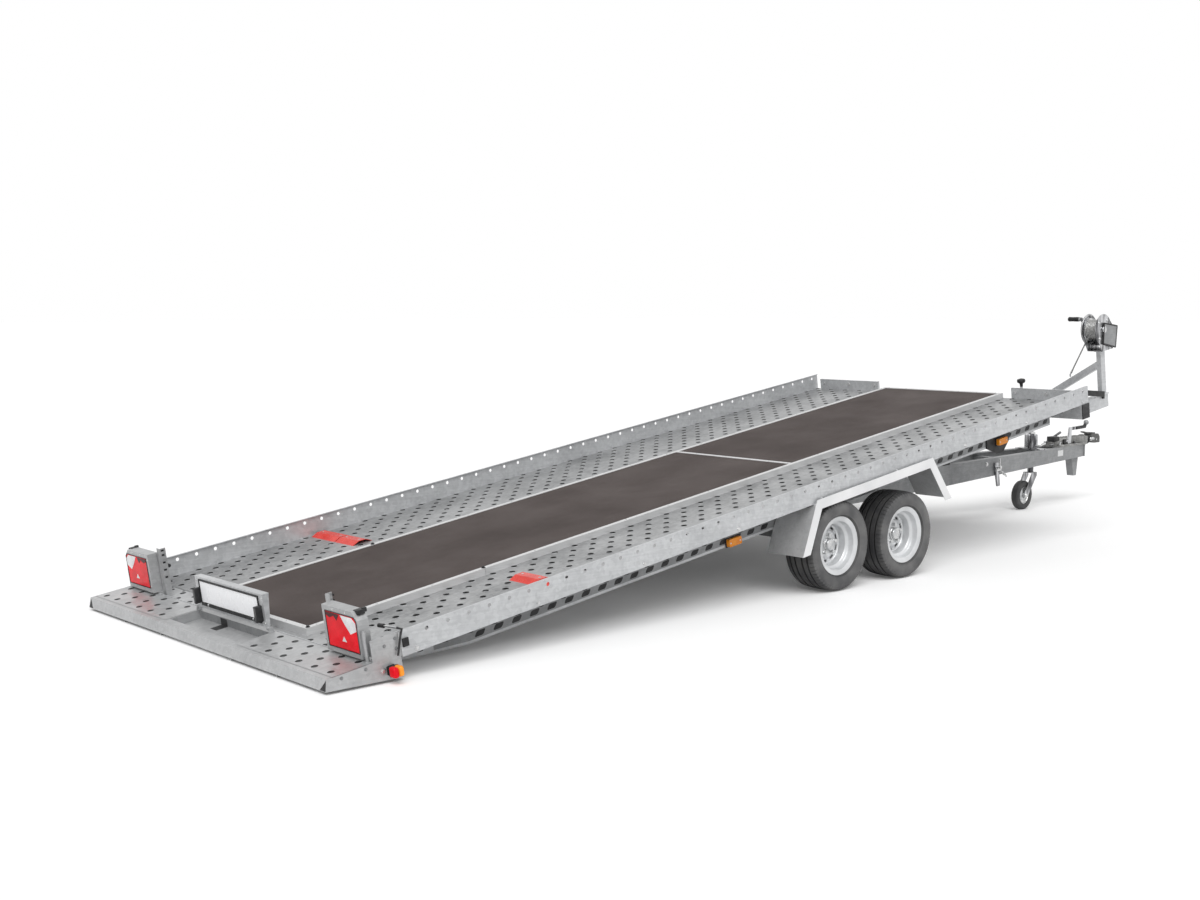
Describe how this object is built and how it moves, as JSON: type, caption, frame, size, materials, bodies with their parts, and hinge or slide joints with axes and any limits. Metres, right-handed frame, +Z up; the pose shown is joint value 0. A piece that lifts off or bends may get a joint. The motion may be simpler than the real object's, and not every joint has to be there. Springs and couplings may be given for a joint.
{
  "type": "car transporter trailer",
  "caption": "Tandem-axle car transporter trailer with a tilting bed tipped onto its rear edge, punched steel lanes, plywood centre, drawbar, jockey wheel and winch.",
  "frame": {"origin": "on the ground, under the middle of the trailer's length and width", "axes": "+X is the direction of travel, from the rear flap to the coupling; +Y is the left-hand side; +Z is up"},
  "size_m": [7.4349, 2.242, 1.4028],
  "materials": {
    "galvanised_steel": "satin",
    "punched_steel": "satin",
    "dark_galvanised_steel": "satin",
    "plywood": "matt",
    "aluminium_trim": "satin",
    "rim_paint": "satin",
    "tyre": "matt",
    "zinc_plate": "glossy",
    "cast_housing": "rough",
    "black_plastic": "matt",
    "black_rubber": "matt",
    "red_lens": "glossy",
    "amber_lens": "glossy",
    "white_plate": "glossy",
    "red_paint": "glossy"
  },
  "bodies": {
    "chassis": {"drawbar_left": "galvanised_steel", "drawbar_right": "galvanised_steel", "chassis_crossmembers": "dark_galvanised_steel", "pivot_brackets": "dark_galvanised_steel", "axle_front": "dark_galvanised_steel", "axle_rear": "dark_galvanised_steel", "coupling_housing": "cast_housing", "coupling_bellows": "black_rubber", "coupling_head": "zinc_plate", "handbrake_lever": "dark_galvanised_steel", "support_leg": "galvanised_steel", "tilt_lock": "zinc_plate", "bed_buffers": "black_rubber", "jockey_tube": "zinc_plate"},
    "bed": {"lane_left": "punched_steel", "lane_right": "punched_steel", "rail_left": "galvanised_steel", "rail_right": "galvanised_steel", "pivot_hangers": "dark_galvanised_steel", "deck_panels": "plywood", "deck_trims": "aluminium_trim", "panel_bearers": "dark_galvanised_steel", "side_beam_left": "dark_galvanised_steel", "side_beam_right": "dark_galvanised_steel", "bed_crossmembers": "dark_galvanised_steel", "front_tube": "galvanised_steel", "tube_end_caps": "black_plastic", "fender_left": "galvanised_steel", "fender_right": "galvanised_steel", "rear_flap": "galvanised_steel", "lamp_posts": "galvanised_steel", "red_plates": "red_paint", "head_plates": "galvanised_steel", "marker_brackets": "black_rubber", "side_markers": "amber_lens", "rear_markers": "red_lens", "winch_post": "galvanised_steel", "winch_frame": "zinc_plate", "winch_drum": "zinc_plate"},
    "jockey_swivel": {"jockey_fork": "zinc_plate"},
    "jockey_wheel": {"jockey_rim": "zinc_plate", "jockey_tyre": "tyre"},
    "rear_lamp_left": {"lamp_housing_left": "galvanised_steel", "lamp_lens_left": "red_lens"},
    "rear_lamp_right": {"lamp_housing_right": "galvanised_steel", "lamp_lens_right": "red_lens"},
    "plate_carrier": {"plate_holder": "galvanised_steel", "number_plate": "white_plate", "plate_lamps": "black_plastic"},
    "wheel_front_left": {"tyre_front_left": "tyre", "rim_front_left": "rim_paint"},
    "wheel_front_right": {"tyre_front_right": "tyre", "rim_front_right": "rim_paint"},
    "wheel_rear_left": {"tyre_rear_left": "tyre", "rim_rear_left": "rim_paint"},
    "wheel_rear_right": {"tyre_rear_right": "tyre", "rim_rear_right": "rim_paint"}
  },
  "joints": [
    {"name": "bed_tilt", "type": "hinge", "parent": "chassis", "child": "bed", "pos_m": [-0.40354, 0, 0.43], "axis": [0, -1, 0], "range_deg": [-8.58, 0]},
    {"name": "wheel_front_left_spin", "type": "hinge", "parent": "chassis", "child": "wheel_front_left", "pos_m": [-0.12704, 0.976, 0.234], "axis": [0, 1, 0], "continuous": true},
    {"name": "wheel_front_right_spin", "type": "hinge", "parent": "chassis", "child": "wheel_front_right", "pos_m": [-0.12704, -0.976, 0.234], "axis": [0, 1, 0], "continuous": true},
    {"name": "wheel_rear_left_spin", "type": "hinge", "parent": "chassis", "child": "wheel_rear_left", "pos_m": [-0.68004, 0.976, 0.234], "axis": [0, 1, 0], "continuous": true},
    {"name": "wheel_rear_right_spin", "type": "hinge", "parent": "chassis", "child": "wheel_rear_right", "pos_m": [-0.68004, -0.976, 0.234], "axis": [0, 1, 0], "continuous": true},
    {"name": "jockey_turn", "type": "hinge", "parent": "chassis", "child": "jockey_swivel", "pos_m": [2.82146, 0, 0.262], "axis": [0, 0, 1], "continuous": true},
    {"name": "jockey_spin", "type": "hinge", "parent": "jockey_swivel", "child": "jockey_wheel", "pos_m": [2.71646, 0, 0.103], "axis": [0, 1, 0], "continuous": true},
    {"name": "rear_lamp_left_swing", "type": "hinge", "parent": "bed", "child": "rear_lamp_left", "pos_m": [-3.5194, 1.028, 0.15513], "axis": [0.1492, 0, -0.9888], "range_deg": [0, 90]},
    {"name": "rear_lamp_right_swing", "type": "hinge", "parent": "bed", "child": "rear_lamp_right", "pos_m": [-3.5194, -1.028, 0.15513], "axis": [-0.1492, 0, 0.9888], "range_deg": [0, 90]},
    {"name": "plate_fold", "type": "hinge", "parent": "bed", "child": "plate_carrier", "pos_m": [-3.52395, 0, 0.10489], "axis": [0, -1, 0], "range_deg": [0, 84]}
  ]
}
